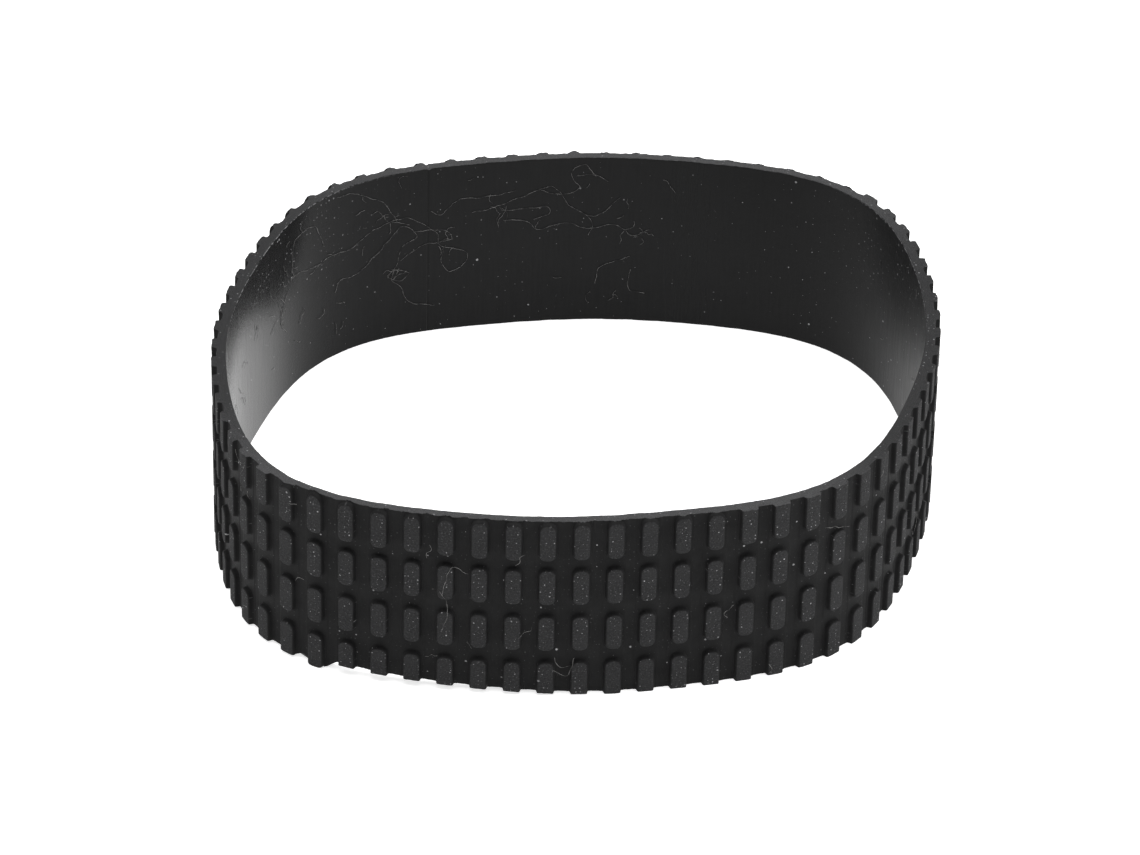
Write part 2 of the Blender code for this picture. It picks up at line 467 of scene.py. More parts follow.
def lower_edge_lift(onwards):
    """How far the lower edge was cut too high, on both sides of the pad that was left whole."""
    after = smooth(onwards, STUB_COLUMN + 0.24, STUB_COLUMN + 0.75)
    lift = SCOOP_HEIGHT * after * np.clip(1 - (onwards - STUB_COLUMN - 0.5) / SCOOP_COLUMNS, 0, 1)
    before = smooth(onwards, 55, 60) * (1 - smooth(onwards, STUB_COLUMN - 0.35, STUB_COLUMN - 0.2))
    return lift + 0.25 * before + 0.3 * hump(onwards, STUB_COLUMN - 0.5, 0.28)


def upper_edge_rise(columns, outer, on_pad, flash, ragged):
    """How far the upper edge stands above its line: waves, flash, lumps, dips and torn pads."""
    rise = 0.03 * ripple(columns, 60, 1) + 0.02 * ripple(columns, 240, 2)
    rise += flash * (0.05 + outer * (0.06 + 0.17 * ragged))
    rise += sum(height * hump(columns, *place) for *place, height in RIM_LUMPS) * outer
    rise -= sum(depth * hump(columns, *place) for *place, depth in RIM_DIPS)
    return rise + on_pad * 0.05 * (1 + ripple(columns, 330, 5)) * (1 - flash)


def lower_edge_fall(columns, on_pad):
    """How far the lower edge hangs below its line: waves, and the round end of the whole pad."""
    across = np.clip((columns - STUB_COLUMN) * COLUMN_PITCH / PAD_HALF_WIDTH, -1, 1)
    round_end = (np.abs(across) < 1) * (STUB_ROUND * np.sqrt(1 - across ** 2) - STUB_RISE)
    return 0.025 * ripple(columns, 50, 6) - 0.015 * ripple(columns, 260, 7) + on_pad * round_end


def trim(columns, up, out):
    """Move points near the trimmed edges. Returns the new heights and distances out."""
    near_top = smooth(up, HEIGHT - EDGE_REACH, HEIGHT - EDGE_ROUND)
    near_bottom = 1 - smooth(up, EDGE_ROUND, EDGE_REACH)
    low = 1 - smooth(up, EDGE_ROUND, LOW_REACH)
    outer = smooth(out, -0.35, -0.02)
    on_pad = smooth(out, 0.05, 0.3)
    onwards = np.where(columns < 0.5 * COLUMNS, columns + COLUMNS, columns)
    flash = smooth(onwards, FLASH_FROM, FLASH_FROM + 0.5)
    flash *= 1 - smooth(onwards, FLASH_TO - FLASH_FADE, FLASH_TO)
    ragged = np.maximum(0, ripple(columns, 110, 3) + 0.35 * ripple(columns, 420, 4))
    lean = near_top * outer * (0.03 * ripple(columns, 150, 8) + 0.07 * flash * ragged)
    rise = near_top * upper_edge_rise(columns, outer, on_pad, flash, ragged)
    fall = near_bottom * lower_edge_fall(columns, on_pad)
    return up + rise - fall + low * lower_edge_lift(onwards), out + lean


def wrap(points):
    """Flat points (along, up, out) in millimetres, bent round the band, in metres."""
    columns = SEAM_COLUMN + points[:, 0] / COLUMN_PITCH
    on_band = np.mod(columns, COLUMNS)
    up, out = trim(on_band, points[:, 1], points[:, 2])
    middle, outward = station(columns)
    plan = middle + outward * (out + 0.5 * WEB)[:, None]
    return np.concatenate([plan, up[:, None]], 1) * MM


rim_places = np.linspace(60, 71, 500)
rim_heights = trim(rim_places, np.full_like(rim_places, HEIGHT), np.zeros_like(rim_places))[0]
print("highest lip", round(float(rim_heights.max()), 2))

# %% [markdown]
# ## The skin, length by length
# One mesh could wrap the whole ring, but then it couldn't bend at more than one hinge. Each piece of skin
# reaches from the middle of one stiff length to the middle of the next, across one hinge, and ends on the
# web halfway between two columns of pads, where the next piece meets it. The two pieces at the open joint
# line are half as long and just ride.

# %% Build the pieces of skin
OUTSIDE, INSIDE, RIM = range(3)
RAISED = "raised"


def finish_of(face):
    """Which finish a flat face takes: the patterned outside, the smooth inside or a cut rim."""
    middle = face.calc_center_median()
    if middle.y < EDGE_ROUND or middle.y > HEIGHT - EDGE_ROUND:
        return RIM
    return INSIDE if face.normal.z < -0.9 and middle.z < -0.5 * WEB else OUTSIDE


def skin_piece(name, first, last):
    """One closed piece of skin, wrapped round the band."""
    flat = draw_outside(first, last)
    rims = set(close_length(flat, first, last))
    flat.normal_update()
    drawing = flat.loops.layers.uv.new("drawing")
    for face in flat.faces:
        face.material_index = finish_of(face)
        face.smooth = True
        for loop in face.loops:
            at = loop.vert.co
            loop[drawing].uv = (at.x, at.z) if face.material_index == RIM else (at.x, at.y)
    for edge in flat.edges:
        ends = [abs(face.normal.x) > 0.99 for face in edge.link_faces]
        flats = [face in rims for face in edge.link_faces]
        if any(ends) or flats[0] != flats[-1]:
            edge.smooth = False
    points = np.array([v.co for v in flat.verts])
    mesh = bpy.data.meshes.new(name)
    flat.to_mesh(mesh)
    flat.free()
    mesh.vertices.foreach_set("co", wrap(points).astype(np.float32).ravel())
    raised = mesh.attributes.new(RAISED, "FLOAT", "POINT")
    raised.data.foreach_set("value", np.clip(points[:, 2] / PAD_HEIGHT, 0, 1).astype(np.float32))
    mesh.update()
    piece = bpy.data.objects.new(name, mesh)
    bpy.context.collection.objects.link(piece)
    return piece


def node(number):
    return f"band_segment_{number:02d}"


skins = []
for number in range(SEGMENTS + 1):
    hinge = hinge_column(number)
    start = hinge - 1 if number > 0 else hinge
    stop = hinge + 1 if number < SEGMENTS else hinge
    skin = skin_piece(f"grip_skin_{number:02d}", start, stop)
    skins.append(skin)
print("pieces of skin", len(skins), "faces in one", len(skins[1].data.polygons))

# %% [markdown]
# ## Riding
# The two half pieces at the joint line ride on the first and last lengths. The other pieces of skin stay
# where they were built.

# %% Join the end pieces of skin to the frame
def join(piece, number):
    """Attach the two half pieces at the joint line to the first and last lengths; other pieces keep their
    place.
    """
    if number in (0, SEGMENTS):
        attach(piece, node(1 if number == 0 else SEGMENTS))
    else:
        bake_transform(piece)


for number, skin in enumerate(skins):
    join(skin, number)
    if number > 0:
        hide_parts(node(number))
print("pieces of skin joined", len(skins))

# %% [markdown]
# ## Lint
# Soft rubber holds fibres from cloths and sleeves. A hair system could scatter them, but these lie where
# they fell, in loops and tangles, mostly on the inside of the back. Each long one is a smooth curve through
# a few chosen places, given as (column, height in millimetres), with a small wobble. Short ones are
# scattered by a seeded draw, some in tangles on the long ones. A fibre is a thin closed tube, cut where two
# pieces of skin meet.

# %% Routes of the long fibres
INSIDE_LINT = (
    ((43.2, 20.0), (42.4, 19.3), (41.5, 17.6), (41.0, 15.4), (40.9, 14.6)),
    ((45.6, 13.9), (44.6, 12.9), (43.4, 12.8), (42.6, 12.9), (41.8, 14.0), (41.0, 14.9), (40.2, 14.3),
     (39.6, 12.6), (39.4, 10.8), (38.8, 10.2), (38.5, 9.0), (38.7, 7.8), (39.1, 7.5), (39.4, 8.6),
     (39.3, 10.4)),
    ((43.3, 8.0), (43.1, 9.2), (42.3, 9.4), (41.6, 11.2), (41.2, 12.5), (40.7, 13.8), (40.2, 12.6),
     (40.4, 11.9), (40.8, 10.9), (40.9, 9.2), (41.2, 7.9), (40.8, 7.0), (40.5, 7.9), (40.9, 8.6),
     (41.1, 7.3), (40.8, 6.2), (40.4, 4.1), (39.7, 3.2)),
    ((45.6, 14.2), (45.5, 17.2), (45.1, 18.1), (44.2, 17.6), (43.8, 14.6)),
    ((40.8, 9.6), (40.1, 10.9), (39.5, 11.3), (39.0, 11.6), (39.3, 12.6), (40.3, 13.1)),
    ((39.7, 15.4), (39.4, 14.6), (38.8, 16.4), (38.0, 16.3), (36.9, 16.9)),
    ((38.4, 14.5), (37.5, 15.1), (36.9, 15.8), (36.0, 17.0), (35.5, 16.5), (35.0, 14.3), (34.5, 13.3),
     (34.1, 13.6), (33.5, 15.6)),
    ((37.3, 13.4), (36.6, 12.9), (36.2, 11.9), (35.3, 12.4), (34.5, 11.8), (33.6, 12.1), (33.0, 11.0),
     (32.4, 11.8)),
    ((34.3, 18.3), (34.6, 19.6), (35.0, 19.3), (35.1, 18.2), (34.8, 16.8), (35.3, 16.1), (36.1, 16.7)),
    ((34.9, 18.3), (34.4, 18.6), (33.9, 17.6)),
    ((37.5, 15.0), (37.3, 14.4), (36.6, 14.6), (35.9, 14.6), (35.8, 13.7), (36.3, 13.2)),
    ((34.8, 14.0), (34.4, 12.6), (34.5, 10.9)),
    ((34.2, 4.8), (34.1, 6.7), (33.5, 7.7), (33.1, 8.3)),
    ((33.1, 6.5), (33.1, 4.2), (32.6, 3.6)),
    ((46.4, 12.6), (46.1, 11.0), (46.3, 9.2), (46.0, 7.6)),
)
OUTSIDE_LINT = (
    ((66.7, 14.6), (66.4, 15.1), (66.2, 14.9), (65.98, 13.4), (65.95, 11.8), (66.1, 10.5), (66.0, 8.6),
     (65.9, 7.3)),
    ((7.4, 16.4), (7.8, 16.1), (8.0, 15.5), (8.3, 15.3)),
    ((58.6, 20.2), (58.9, 19.3), (59.2, 19.6), (59.0, 18.7)),
    ((12.8, 5.6), (13.0, 4.9), (13.3, 5.3), (13.4, 6.2)),
    ((69.2, 3.4), (69.6, 2.6), (69.9, 4.6)),
)
TANGLES = (
    (40.9, 7.8), (39.3, 10.9), (33.0, 11.4), (45.6, 13.6), (37.4, 15.0), (41.0, 14.9), (46.3, 11.0),
)
TANGLE_FIBRES, TANGLE_COLUMNS, TANGLE_HEIGHT = 5, 0.35, 0.9
INSIDE_WOBBLE, OUTSIDE_WOBBLE = 0.12, 0.16
WOBBLE_WAVES = (1.3, 2.9, 5.3)  # radians per millimetre
FIBRE_STEP = 0.16
FIBRE_RADIUS = 0.015
FIBRE_SIDES = 5
FIBRE_LOW, FIBRE_SWAY = 0.04, 0.05  # height over the rubber: the least, and half of what comes on top
SEAM_CLEARANCE = 0.05


# %% Curves and tubes
def fibre_curve(knots, wobble, seed):
    """Points (along, up) every fraction of a millimetre on a smooth wobbly curve through the knots."""
    flat = np.array([((column - SEAM_COLUMN) * COLUMN_PITCH, up) for column, up in knots])
    ends = np.concatenate([[2 * flat[0] - flat[1]], flat, [2 * flat[-1] - flat[-2]]])
    points = []
    for a, b, c, d in zip(ends[:-3], ends[1:-2], ends[2:-1], ends[3:]):
        count = max(2, round(float(np.linalg.norm(c - b)) / FIBRE_STEP))
        t = (np.arange(count) / count)[:, None]
        points.append(0.5 * (2 * b + (c - a) * t + (2 * a - 5 * b + 4 * c - d) * t ** 2
                             + (3 * b - a - 3 * c + d) * t ** 3))
    points = np.concatenate(points + [flat[-1:]])
    draw = np.random.RandomState(seed)
    place = np.arange(len(points))[:, None] * FIBRE_STEP
    for waves in WOBBLE_WAVES:
        points = points + wobble / waves * np.sin(place * waves + draw.uniform(0, math.tau, 2))
    return points


def short_fibres(count, seed, columns, heights):
    """Knots of short curved fibres scattered over part of the band."""
    draw = np.random.RandomState(seed)
    routes = []
    for _ in range(count):
        place = np.array([draw.uniform(*columns), draw.uniform(*heights)])
        heading, knots = draw.uniform(0, math.tau), [place]
        for _ in range(draw.randint(2, 5)):
            heading += draw.uniform(-1.1, 1.1)
            step = draw.uniform(0.25, 0.7)
            knots.append(knots[-1] + step * np.array([math.cos(heading) / COLUMN_PITCH, math.sin(heading)]))
        routes.append(knots)
    return routes


def skin_number(along):
    """Which piece of skin a place along the drawing lies on."""
    columns = np.mod(along / COLUMN_PITCH, COLUMNS)
    return np.floor((columns + 1) / 2).astype(int)


def split_at_skins(points):
    """Runs of points that each lie on one piece of skin, with a shared point at every crossing."""
    cuts = COLUMN_PITCH * np.concatenate([[0.0], np.arange(1, COLUMNS, 2), [COLUMNS]])
    cuts = np.concatenate([cuts - LENGTH, cuts])
    dense = [points[0]]
    for a, b in zip(points[:-1], points[1:]):
        low, high = sorted((a[0], b[0]))
        shares = sorted((cut - a[0]) / (b[0] - a[0]) for cut in set(cuts) if low < cut < high)
        dense += [a + (b - a) * share for share in shares] + [b]
    dense = np.array(dense)
    numbers = skin_number(0.5 * (dense[:-1, 0] + dense[1:, 0]))
    starts = [0] + [i for i in range(1, len(numbers)) if numbers[i] != numbers[i - 1]] + [len(numbers)]
    return [(numbers[i], dense[i:j + 1]) for i, j in zip(starts[:-1], starts[1:])]


def add_tube(flat, points, out, normals):
    """A closed tube along points, with one ring of corners at each."""
    rings = []
    for (along, up), rise, normal in zip(points, out, normals):
        ring = []
        for k in range(FIBRE_SIDES):
            angle = math.tau * k / FIBRE_SIDES
            side = FIBRE_RADIUS * math.cos(angle) * normal
            height = rise + FIBRE_RADIUS * math.sin(angle)
            ring.append(flat.verts.new((along + side[0], up + side[1], height)))
        rings.append(ring)
    for a, b in zip(rings[:-1], rings[1:]):
        for k in range(FIBRE_SIDES):
            m = (k + 1) % FIBRE_SIDES
            flat.faces.new([a[k], a[m], b[m], b[k]])
    flat.faces.new(rings[0][::-1])
    flat.faces.new(rings[-1])


# %% Lay the fibres
def lay_fibres(routes, out_from, out_sign, wobble, found):
    """Draw fibres over the inside or outside and gather their tubes by piece of skin."""
    for seed, knots in enumerate(routes):
        curve = fibre_curve(knots, wobble, seed)
        for number, run in split_at_skins(curve):
            if len(run) < 2 or np.ptp(run, 0).max() < 0.01:
                continue
            side = np.sign(run[:, 0].mean())
            run[:, 0] = side * np.maximum(side * run[:, 0], SEAM_CLEARANCE)
            tangent = np.gradient(run, axis=0)
            tangent /= np.linalg.norm(tangent, axis=1)[:, None] + 1e-9
            normals = np.stack([-tangent[:, 1], tangent[:, 0]], 1)
            sway = np.sin(1.3 * run[:, 0] + 0.9 * run[:, 1] + seed)
            rise = FIBRE_LOW + FIBRE_SWAY * (1 + sway)
            flat = found.setdefault(int(number), bmesh.new())
            add_tube(flat, run, out_from + out_sign * rise, normals)


found = {}
inside_routes = list(INSIDE_LINT) + short_fibres(26, 5, (31.5, 45.5), (1.5, 19.0))
for seed, (column, up) in enumerate(TANGLES):
    columns = (column - TANGLE_COLUMNS, column + TANGLE_COLUMNS)
    heights = (up - TANGLE_HEIGHT, up + TANGLE_HEIGHT)
    inside_routes += short_fibres(TANGLE_FIBRES, 20 + seed, columns, heights)
inside_routes += short_fibres(10, 6, (45.5, 51.0), (5.0, 19.0))
inside_routes += short_fibres(8, 7, (18.0, 24.0), (4.0, 19.5))
lay_fibres(inside_routes, -WEB, -1, INSIDE_WOBBLE, found)
outside_routes = list(OUTSIDE_LINT) + short_fibres(34, 8, (0.0, COLUMNS), (1.0, 19.5))
lay_fibres(outside_routes, PAD_HEIGHT, 1, OUTSIDE_WOBBLE, found)

lint = []
for number, flat in sorted(found.items()):
    bmesh.ops.recalc_face_normals(flat, faces=flat.faces)
    drawing = flat.loops.layers.uv.new("drawing")
    for face in flat.faces:
        face.smooth = True
        for loop in face.loops:
            loop[drawing].uv = loop.vert.co.xy
    points = np.array([v.co for v in flat.verts])
    mesh = bpy.data.meshes.new(f"lint_{number:02d}")
    flat.to_mesh(mesh)
    flat.free()
    mesh.vertices.foreach_set("co", wrap(points).astype(np.float32).ravel())
    mesh.update()
    piece = bpy.data.objects.new(mesh.name, mesh)
    bpy.context.collection.objects.link(piece)
    join(piece, number)
    lint.append(piece)
print("lint on", len(lint), "pieces of skin,", sum(len(p.data.polygons) for p in lint), "faces")

# %% [markdown]
# ## Effects that the finishes share
# Dust, grain and streaks turn up in several finishes, so each is one node group with named inputs, placed in
# every material that needs it with its own values. All of them read the flat drawing of the band, in
# millimetres, so a speck is a tenth of a millimetre wide wherever it lies.

# %% Node helpers
def new_group(name, inputs, outputs):
    """An empty shader node group with float or vector sockets. Returns the tree and its end nodes."""
    tree = bpy.data.node_groups.new(name, "ShaderNodeTree")
    for label, kind, value in inputs:
        socket = tree.interface.new_socket(name=label, in_out="INPUT", socket_type=kind)
        if kind == "NodeSocketFloat":
            socket.default_value = value
    for label, kind in outputs:
        tree.interface.new_socket(name=label, in_out="OUTPUT", socket_type=kind)
    return tree, tree.nodes.new("NodeGroupInput"), tree.nodes.new("NodeGroupOutput")


def math_node(tree, operation, *values):
    """A Math node fed by numbers or sockets. Returns its output."""
    made = tree.nodes.new("ShaderNodeMath")
    made.operation = operation
    for socket, value in zip(made.inputs, values):
        if isinstance(value, (int, float)):
            socket.default_value = value
        else:
            tree.links.new(value, socket)
    return made.outputs[0]


def vector_scale(tree, vector, scale):
    """The vector times a plain (x, y, z) scale."""
    made = tree.nodes.new("ShaderNodeVectorMath")
    made.operation = "MULTIPLY"
    tree.links.new(vector, made.inputs[0])
    made.inputs[1].default_value = scale
    return made.outputs[0]


def noise_value(tree, vector, scale, detail, roughness):
    """A noise texture's value; scale may be a socket."""
    made = tree.nodes.new("ShaderNodeTexNoise")
    tree.links.new(vector, made.inputs["Vector"])
    if isinstance(scale, (int, float)):
        made.inputs["Scale"].default_value = scale
    else:
        tree.links.new(scale, made.inputs["Scale"])
    made.inputs["Detail"].default_value = detail
    made.inputs["Roughness"].default_value = roughness
    return made.outputs["Fac"]


def ramp(tree, value, low, high, to_low=0.0, to_high=1.0):
    """A smooth Map Range from low..high to to_low..to_high."""
    made = tree.nodes.new("ShaderNodeMapRange")
    made.interpolation_type = "SMOOTHSTEP"
    ends = {"From Min": low, "From Max": high, "To Min": to_low, "To Max": to_high}
    for label, number in ends.items():
        if isinstance(number, (int, float)):
            made.inputs[label].default_value = number
        else:
            tree.links.new(number, made.inputs[label])
    tree.links.new(value, made.inputs["Value"])
    return made.outputs["Result"]


print("node helpers ready")


# %% Dust: a few light specks
SMALLEST_SPECK = 0.025


def make_dust():
    """Specks: each cell of a Voronoi pattern holds one, if its own random number is under the share."""
    tree, start, end = new_group(
        "dust_specks",
        [("Drawing", "NodeSocketVector", None), ("Cells per mm", "NodeSocketFloat", 2.0),
         ("Share", "NodeSocketFloat", 0.3), ("Largest mm", "NodeSocketFloat", 0.12)],
        [("Mask", "NodeSocketFloat")])
    wobble = tree.nodes.new("ShaderNodeTexNoise")
    wobble.inputs["Scale"].default_value = 9.0
    tree.links.new(start.outputs["Drawing"], wobble.inputs["Vector"])
    bent = tree.nodes.new("ShaderNodeVectorMath")
    bent.operation = "MULTIPLY_ADD"
    tree.links.new(wobble.outputs["Color"], bent.inputs[0])
    bent.inputs[1].default_value = (0.16, 0.16, 0.0)
    tree.links.new(start.outputs["Drawing"], bent.inputs[2])
    cells = tree.nodes.new("ShaderNodeTexVoronoi")
    cells.voronoi_dimensions = "2D"
    tree.links.new(bent.outputs[0], cells.inputs["Vector"])
    tree.links.new(start.outputs["Cells per mm"], cells.inputs["Scale"])
    draw = tree.nodes.new("ShaderNodeSeparateColor")
    tree.links.new(cells.outputs["Color"], draw.inputs[0])
    chosen = math_node(tree, "LESS_THAN", draw.outputs[0], start.outputs["Share"])
    share = math_node(tree, "POWER", draw.outputs[1], 2.5)
    size = math_node(tree, "MULTIPLY", share, start.outputs["Largest mm"])
    size = math_node(tree, "ADD", size, SMALLEST_SPECK)
    reach = math_node(tree, "MULTIPLY", size, start.outputs["Cells per mm"])
    inner = math_node(tree, "MULTIPLY", reach, 0.35)
    spot = ramp(tree, cells.outputs["Distance"], inner, reach, 1.0, 0.0)
    bright = math_node(tree, "MULTIPLY_ADD", draw.outputs[2], 0.6, 0.4)
    mask = math_node(tree, "MULTIPLY", math_node(tree, "MULTIPLY", spot, chosen), bright)
    tree.links.new(mask, end.inputs["Mask"])
    return tree


# %% Grain: the matt tooth of moulded rubber
def make_grain():
    """Fine tooth and coarse cloud."""
    tree, start, end = new_group(
        "rubber_grain",
        [("Drawing", "NodeSocketVector", None), ("Tooth per mm", "NodeSocketFloat", 6.0)],
        [("Tooth", "NodeSocketFloat"), ("Cloud", "NodeSocketFloat")])
    drawing = start.outputs["Drawing"]
    tooth = noise_value(tree, drawing, start.outputs["Tooth per mm"], 3.0, 0.65)
    cloud = noise_value(tree, drawing, 0.35, 3.0, 0.6)
    tree.links.new(tooth, end.inputs["Tooth"])
    tree.links.new(cloud, end.inputs["Cloud"])
    return tree


# %% Streaks: wiping and drawing marks
def make_streaks():
    """Long streaks up the band and long streaks along it."""
    tree, start, end = new_group(
        "rubber_streaks", [("Drawing", "NodeSocketVector", None)],
        [("Upright", "NodeSocketFloat"), ("Along", "NodeSocketFloat")])
    upright = vector_scale(tree, start.outputs["Drawing"], (1.0, 0.06, 1.0))
    along = vector_scale(tree, start.outputs["Drawing"], (0.05, 1.0, 1.0))
    tree.links.new(noise_value(tree, upright, 3.0, 4.0, 0.6), end.inputs["Upright"])
    tree.links.new(noise_value(tree, along, 9.0, 3.0, 0.55), end.inputs["Along"])
    return tree


DUST, GRAIN, STREAKS = make_dust(), make_grain(), make_streaks()
print("shared effects", [tree.name for tree in (DUST, GRAIN, STREAKS)])

# %% [markdown]
# ## Finishes
# One black rubber has three faces here. The tool's etched surface leaves the pads matt and grey with dust,
# while the web between them stays smooth and darker. The inside was moulded against a polished core, so it
# has a satin sheen, which is glossier on one bend and scuffed on the other. The blade leaves the rims pale
# and slightly open, and their colour is darker at the bends. Dust gathers high inside the bends, and a
# painted highlight runs along the upper rim there.

# %% Material helpers
FRONT_ALONG = 95.0  # near the middle of the front, in millimetres from where the hinges' loop is open
BENDS_FROM_FRONT = (25.0, 42.0, 70.0, 95.0)  # a bend's start, full part and end, on both sides


def group_node(tree, group, **values):
    """Place a shared effect. It reads the band's flat drawing; values are its named inputs."""
    made = tree.nodes.new("ShaderNodeGroup")
    made.node_tree = group
    drawing = tree.nodes.get("Drawing") or tree.nodes.new("ShaderNodeUVMap")
    drawing.name, drawing.uv_map = "Drawing", "drawing"
    tree.links.new(drawing.outputs["UV"], made.inputs["Drawing"])
    for label, value in values.items():
        made.inputs[label.replace("_", " ")].default_value = value
    return made


def mix_colour(tree, share, below, above):
    """Mix of two colours or colour sockets."""
    made = tree.nodes.new("ShaderNodeMix")
    made.data_type = "RGBA"
    tree.links.new(share, made.inputs["Factor"])
    for socket, value in ((made.inputs[6], below), (made.inputs[7], above)):
        if isinstance(value, tuple):
            socket.default_value = (*value, 1.0)
        else:
            tree.links.new(value, socket)
    return made.outputs[2]


def new_material(name, specular):
    """A material with a Principled shader. Returns the material, its tree and the shader."""
    material = bpy.data.materials.new(name)
    material.use_nodes = True
    tree = material.node_tree
    shader = tree.nodes["Principled BSDF"]
    shader.inputs["Specular IOR Level"].default_value = specular
    return material, tree, shader


def add_bump(tree, shader, height, distance):
    """Bump from a height of 0 to 1, where 1 stands for the distance in millimetres."""
    bump = tree.nodes.new("ShaderNodeBump")
    bump.inputs["Distance"].default_value = distance * MM
    tree.links.new(height, bump.inputs["Height"])
    tree.links.new(bump.outputs["Normal"], shader.inputs["Normal"])


def between(tree, value, low, full_low, full_high, high):
    """1 from full_low to full_high, fading to 0 at low and high."""
    rising = ramp(tree, value, low, full_low)
    return math_node(tree, "MULTIPLY", rising, ramp(tree, value, full_high, high, 1.0, 0.0))


def at_bends(tree, along):
    """1 on the two tight bends at the sides and 0 on the long front and back."""
    from_front = math_node(tree, "ABSOLUTE", math_node(tree, "SUBTRACT", along, FRONT_ALONG))
    return between(tree, from_front, *BENDS_FROM_FRONT)


def drawing_parts(tree):
    """Place along the band and the other coordinate of the flat drawing, in millimetres."""
    split = tree.nodes.new("ShaderNodeSeparateXYZ")
    tree.links.new(tree.nodes["Drawing"].outputs["UV"], split.inputs[0])
    return split.outputs[0], split.outputs[1]


def raised_share(tree, low, high):
    """How far a place stands on a pad's face, from 0 on the web to 1 on the face."""
    raised = tree.nodes.new("ShaderNodeAttribute")
    raised.attribute_name = RAISED
    return ramp(tree, raised.outputs["Fac"], low, high)


# %% The patterned outside
WEB_DARK, WEB_PALE = (0.0108, 0.0108, 0.0110), (0.0145, 0.0145, 0.0147)
PAD_DARK, PAD_CLOUD = (0.020, 0.020, 0.0205), (0.027, 0.027, 0.0275)
PAD_TOOTH, PAD_GRIT = (0.036, 0.036, 0.037), (0.085, 0.085, 0.087)
PAD_DUST = (0.42, 0.42, 0.43)


def make_outside():
    material, tree, shader = new_material("patterned_rubber", 0.08)
    grain = group_node(tree, GRAIN, Tooth_per_mm=5.5)
    on_face = raised_share(tree, 0.90, 1.0)
    tooth = ramp(tree, grain.outputs["Tooth"], 0.3, 0.7)
    cloud = ramp(tree, grain.outputs["Cloud"], 0.3, 0.7)
    web = mix_colour(tree, cloud, WEB_DARK, WEB_PALE)
    face_dark = mix_colour(tree, cloud, PAD_DARK, PAD_CLOUD)
    face = mix_colour(tree, tooth, face_dark, PAD_TOOTH)
    grit = ramp(tree, grain.outputs["Tooth"], 0.60, 0.72)
    face = mix_colour(tree, grit, face, PAD_GRIT)
    plain = mix_colour(tree, on_face, web, face)
    fine = group_node(tree, DUST, Cells_per_mm=2.2, Share=0.40, Largest_mm=0.07)
    thick = group_node(tree, DUST, Cells_per_mm=0.55, Share=0.16, Largest_mm=0.14)
    on_pads = math_node(tree, "MULTIPLY_ADD", on_face, 0.88, 0.12)
    specks = math_node(tree, "MULTIPLY", fine.outputs["Mask"], on_pads)
    specks = math_node(tree, "MAXIMUM", specks, thick.outputs["Mask"])
    specked = mix_colour(tree, specks, plain, PAD_DUST)
    tree.links.new(specked, shader.inputs["Base Color"])
    tree.links.new(ramp(tree, on_face, 0.0, 1.0, 0.68, 0.85), shader.inputs["Roughness"])
    share = math_node(tree, "MULTIPLY_ADD", on_face, 0.8, 0.2)
    add_bump(tree, shader, math_node(tree, "MULTIPLY", tooth, share), 0.03)
    return material


# %% The smooth inside
SEAM_ALONG = (39.83 - SEAM_COLUMN) * COLUMN_PITCH
SCUFFED = (95.0, 125.0, 185.0, 215.0)  # along the band: where it starts, is full, is still full, and ends
POLISHED = (18.0, 31.0, 53.0, 75.0)
INSIDE_DARK, INSIDE_PALE = (0.0050, 0.0050, 0.0052), (0.0072, 0.0072, 0.0074)
INSIDE_WIPED, SEAM_DARK = (0.0078, 0.0078, 0.0080), (0.004, 0.004, 0.004)
# The pale inside colour below serves both the dust specks and the painted highlight along the upper rim at
# the bends.
INSIDE_DUST_AND_HIGHLIGHT = (0.45, 0.45, 0.46)


def inside_dust_and_edge_highlight(tree, grain, along, up):
    """Specks of dust all over, a crowd of them high on the bends, and a painted highlight along the upper
    rim there, in light grains.
    """
    fine = group_node(tree, DUST, Cells_per_mm=1.1, Share=0.18, Largest_mm=0.08)
    thick = group_node(tree, DUST, Cells_per_mm=0.35, Share=0.22, Largest_mm=0.15)
    crowd = group_node(tree, DUST, Cells_per_mm=1.6, Share=0.30, Largest_mm=0.11)
    bends = at_bends(tree, along)
    crowded = math_node(tree, "MULTIPLY", bends, ramp(tree, up, 7.0, 15.0))
    crowded = math_node(tree, "MULTIPLY", crowd.outputs["Mask"], crowded)
    faint = math_node(tree, "MULTIPLY", fine.outputs["Mask"], 0.6)
    specks = math_node(tree, "MAXIMUM", faint, thick.outputs["Mask"])
    specks = math_node(tree, "MAXIMUM", specks, crowded)
    # Painted highlight: a broken light line along the upper rim of the inside at the bends, in the dust
    # colour.
    at_edge = ramp(tree, up, HEIGHT - 0.25, HEIGHT - 0.05, 0.0, 0.9)
    painted_edge_highlight = math_node(tree, "MULTIPLY", bends, ramp(tree, grain.outputs["Tooth"], 0.46, 0.58))
    return math_node(tree, "MAXIMUM", specks, math_node(tree, "MULTIPLY", at_edge, painted_edge_highlight))


